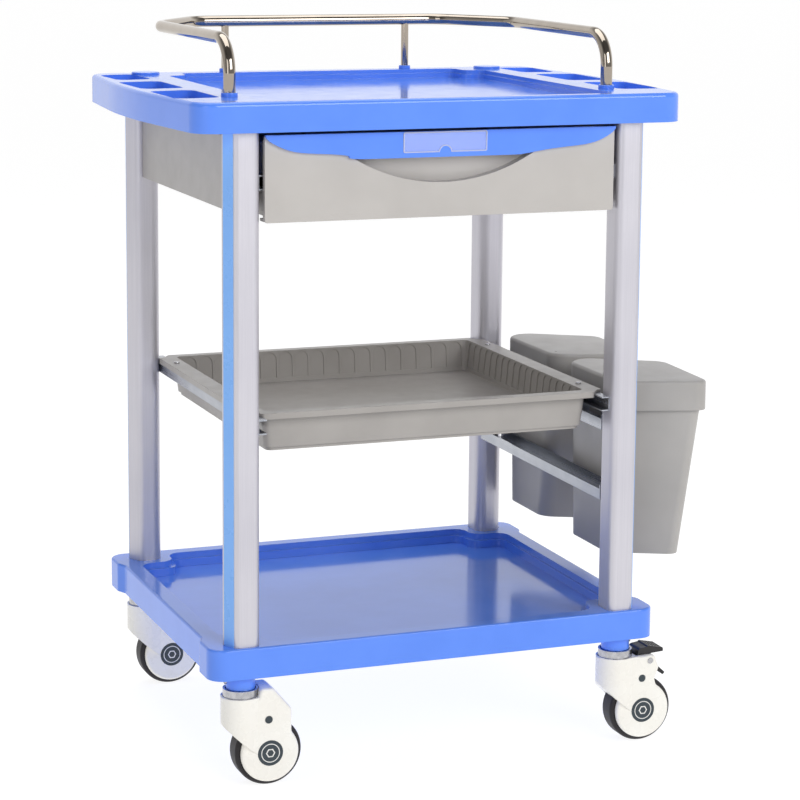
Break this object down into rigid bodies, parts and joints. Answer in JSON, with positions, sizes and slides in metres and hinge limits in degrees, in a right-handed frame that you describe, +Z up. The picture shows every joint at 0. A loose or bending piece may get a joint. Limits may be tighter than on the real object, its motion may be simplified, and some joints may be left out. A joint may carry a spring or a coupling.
{
  "type": "medication cart",
  "caption": "Four-post ward cart with a railed blue top tray, a pull drawer, a ribbed middle tray, a bottom tray, lidded side bins and swivel castors with foot brakes.",
  "frame": {"origin": "on the floor, under the middle of the cart's whole outline, bins included", "axes": "+Z up, front of the drawer faces -Y, bins hang on the +X end"},
  "size_m": [0.6782, 0.475, 0.859],
  "materials": {
    "blue_abs": "glossy moulded",
    "grey_abs": "fine satin moulded",
    "grey_pp": "fine satin moulded",
    "satin_aluminium": "anodised satin",
    "blue_strip": "extruded",
    "polished_stainless": "polished tube",
    "zinc_sheet": "bright zinc plated",
    "steel": "bright",
    "ivory_nylon": "satin moulded",
    "castor_hub": "moulded",
    "tyre": "moulded",
    "badge": "satin",
    "black_nylon": "ribbed",
    "clear_cover": "clear sheet"
  },
  "bodies": {
    "frame": {"top_tray": "blue_abs", "bottom_tray": "blue_abs", "post_caps": "blue_abs", "rail_collars": "blue_abs", "castor_collars": "blue_abs", "posts": "satin_aluminium", "post_strips": "blue_strip", "guard_rail": "polished_stainless", "rail_stubs": "polished_stainless", "shelf_channels": "zinc_sheet", "drawer_channels": "zinc_sheet", "bin_hangers": "zinc_sheet", "castor_stems": "steel", "set_screws": "steel", "channel_screws": "steel", "tray_screws": "steel", "hanger_screws": "steel", "housing_sides": "grey_abs", "housing_back": "grey_abs", "middle_tray": "grey_abs"},
    "drawer": {"drawer_front": "grey_abs", "drawer_band": "blue_abs", "label_cover": "clear_cover", "drawer_box": "grey_abs", "drawer_ties": "zinc_sheet", "drawer_runners": "zinc_sheet"},
    "bin_front": {"bin_front": "grey_pp"},
    "bin_rear": {"bin_rear": "grey_pp"},
    "lid_front": {"bin_lid_front": "grey_pp"},
    "lid_rear": {"bin_lid_rear": "grey_pp"},
    "castor_fl": {"castor_cover_fl": "ivory_nylon", "castor_axle_fl": "steel", "castor_badges_fl": "badge"},
    "wheel_fl": {"castor_hub_fl": "castor_hub", "castor_tyre_fl": "tyre"},
    "castor_fr": {"castor_cover_fr": "ivory_nylon", "castor_axle_fr": "steel", "castor_badges_fr": "badge", "brake_pin_fr": "steel"},
    "wheel_fr": {"castor_hub_fr": "castor_hub", "castor_tyre_fr": "tyre"},
    "brake_fr": {"brake_pedal_fr": "black_nylon"},
    "castor_bl": {"castor_cover_bl": "ivory_nylon", "castor_axle_bl": "steel", "castor_badges_bl": "badge", "brake_pin_bl": "steel"},
    "wheel_bl": {"castor_hub_bl": "castor_hub", "castor_tyre_bl": "tyre"},
    "brake_bl": {"brake_pedal_bl": "black_nylon"},
    "castor_br": {"castor_cover_br": "ivory_nylon", "castor_axle_br": "steel", "castor_badges_br": "badge"},
    "wheel_br": {"castor_hub_br": "castor_hub", "castor_tyre_br": "tyre"}
  },
  "joints": [
    {"name": "drawer_slide", "type": "slide", "parent": "frame", "child": "drawer", "axis": [0, -1, 0], "range_m": [0, 0.28]},
    {"name": "bin_front_lift", "type": "slide", "parent": "frame", "child": "bin_front", "axis": [0, 0, 1], "range_m": [0, 0.05]},
    {"name": "bin_rear_lift", "type": "slide", "parent": "frame", "child": "bin_rear", "axis": [0, 0, 1], "range_m": [0, 0.05]},
    {"name": "lid_front_lift", "type": "slide", "parent": "bin_front", "child": "lid_front", "axis": [0, 0, 1], "range_m": [0, 0.06]},
    {"name": "lid_rear_lift", "type": "slide", "parent": "bin_rear", "child": "lid_rear", "axis": [0, 0, 1], "range_m": [0, 0.06]},
    {"name": "castor_fl_swivel", "type": "hinge", "parent": "frame", "child": "castor_fl", "pos_m": [-0.2641, -0.205, 0.09], "axis": [0, 0, 1], "continuous": true},
    {"name": "wheel_fl_roll", "type": "hinge", "parent": "castor_fl", "child": "wheel_fl", "pos_m": [-0.2341, -0.205, 0.04], "axis": [0, 1, 0], "continuous": true},
    {"name": "castor_fr_swivel", "type": "hinge", "parent": "frame", "child": "castor_fr", "pos_m": [0.2099, -0.205, 0.09], "axis": [0, 0, 1], "continuous": true},
    {"name": "wheel_fr_roll", "type": "hinge", "parent": "castor_fr", "child": "wheel_fr", "pos_m": [0.2399, -0.205, 0.04], "axis": [0, 1, 0], "continuous": true},
    {"name": "brake_fr_pedal", "type": "hinge", "parent": "castor_fr", "child": "brake_fr", "pos_m": [0.2484, -0.205, 0.101], "axis": [0, 1, 0], "range_deg": [0, 10]},
    {"name": "castor_bl_swivel", "type": "hinge", "parent": "frame", "child": "castor_bl", "pos_m": [-0.2641, 0.205, 0.09], "axis": [0, 0, 1], "continuous": true},
    {"name": "wheel_bl_roll", "type": "hinge", "parent": "castor_bl", "child": "wheel_bl", "pos_m": [-0.2341, 0.205, 0.04], "axis": [0, 1, 0], "continuous": true},
    {"name": "brake_bl_pedal", "type": "hinge", "parent": "castor_bl", "child": "brake_bl", "pos_m": [-0.2256, 0.205, 0.101], "axis": [0, 1, 0], "range_deg": [0, 10]},
    {"name": "castor_br_swivel", "type": "hinge", "parent": "frame", "child": "castor_br", "pos_m": [0.2099, 0.205, 0.09], "axis": [0, 0, 1], "continuous": true},
    {"name": "wheel_br_roll", "type": "hinge", "parent": "castor_br", "child": "wheel_br", "pos_m": [0.2399, 0.205, 0.04], "axis": [0, 1, 0], "continuous": true}
  ]
}
